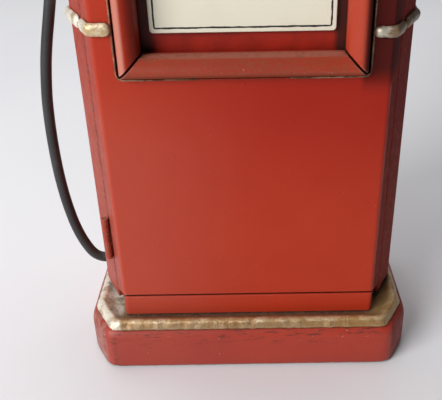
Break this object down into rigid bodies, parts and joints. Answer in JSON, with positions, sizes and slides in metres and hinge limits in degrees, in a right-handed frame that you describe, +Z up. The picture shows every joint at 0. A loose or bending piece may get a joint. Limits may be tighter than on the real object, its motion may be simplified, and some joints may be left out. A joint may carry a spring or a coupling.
{
  "type": "retro fuel pump cabinet",
  "caption": "Free-standing red cabinet shaped like an old fuel pump: stepped plinth, gold beads, hinged front with a framed display, and a side hose with a hanging nozzle.",
  "frame": {"origin": "centre of the underside, on the felt", "axes": "+Z up, the front with the display faces -Y, the hose is on the -X side"},
  "size_m": [0.2044, 0.1256, 0.454],
  "materials": {
    "red_paint": "satin red paint over board, rubbed and antiqued",
    "gold_paint": "pale gold leaf paint with brown dirt in the hollows",
    "cream_plate": "cream enamel, satin",
    "opal_lens": "opal, gloss",
    "black_rubber": "smooth matt rubber",
    "brass": "dull brass, painted over at the hinges",
    "steel": "brushed",
    "board": "bare board, stained dark",
    "black_plastic": "matt",
    "felt": "glued felt"
  },
  "bodies": {
    "cabinet": {"plinth": "red_paint", "side_wall_left": "red_paint", "side_wall_right": "red_paint", "skirt": "red_paint", "back_panel": "red_paint", "cap": "red_paint", "roof": "red_paint", "globe_ring": "red_paint", "ledge_moulding": "gold_paint", "belt_bead_body": "gold_paint", "globe_collar": "gold_paint", "globe_lens_front": "opal_lens", "globe_lens_back": "opal_lens", "hose": "black_rubber", "hose_bush": "black_rubber", "hinge_leaf_wall_1": "brass", "hinge_leaf_wall_2": "brass", "body_screw_1": "steel", "body_screw_2": "steel", "back_screw_1": "steel", "back_screw_2": "steel", "back_screw_3": "steel", "back_screw_4": "steel", "cap_screw_1": "steel", "cap_screw_2": "steel", "globe_bolt": "steel", "hinge_pin_1": "steel", "hinge_pin_2": "steel", "catch_magnet": "steel", "fork_screw_1": "steel", "fork_screw_2": "steel", "nozzle_fork": "steel", "bottom_deck": "board", "shelf": "board", "top_deck": "board", "shelf_cleat_left": "board", "shelf_cleat_right": "board", "catch_case": "black_plastic", "felt_base": "felt"},
    "door": {"door_panel": "red_paint", "frame_bottom": "red_paint", "frame_top": "red_paint", "frame_left": "red_paint", "frame_right": "red_paint", "window_box": "red_paint", "display_plate": "cream_plate", "counter_panel": "black_plastic", "belt_bead_door_left": "gold_paint", "belt_bead_door_right": "gold_paint", "hinge_leaf_door_1": "brass", "hinge_leaf_door_2": "brass", "strike_plate": "steel"},
    "nozzle": {"nozzle_ferrule": "brass", "nozzle_body": "steel", "nozzle_spout": "steel", "lever_pin": "steel", "lever_guard": "steel"},
    "trigger": {"trigger_lever": "steel"}
  },
  "joints": [
    {"name": "door_hinge", "type": "hinge", "parent": "cabinet", "child": "door", "pos_m": [-0.07689, -0.03921, 0.18], "axis": [0, 0, -1], "range_deg": [0, 110]},
    {"name": "nozzle_lift", "type": "slide", "parent": "cabinet", "child": "nozzle", "axis": [0, 0, 1], "range_m": [0, 0.007]},
    {"name": "trigger_squeeze", "type": "hinge", "parent": "nozzle", "child": "trigger", "pos_m": [-0.1055, -0.003, 0.272], "axis": [0, -1, 0], "range_deg": [0, 8], "stiffness_Nm_per_rad": 0.02, "springref_deg": -17.19}
  ]
}
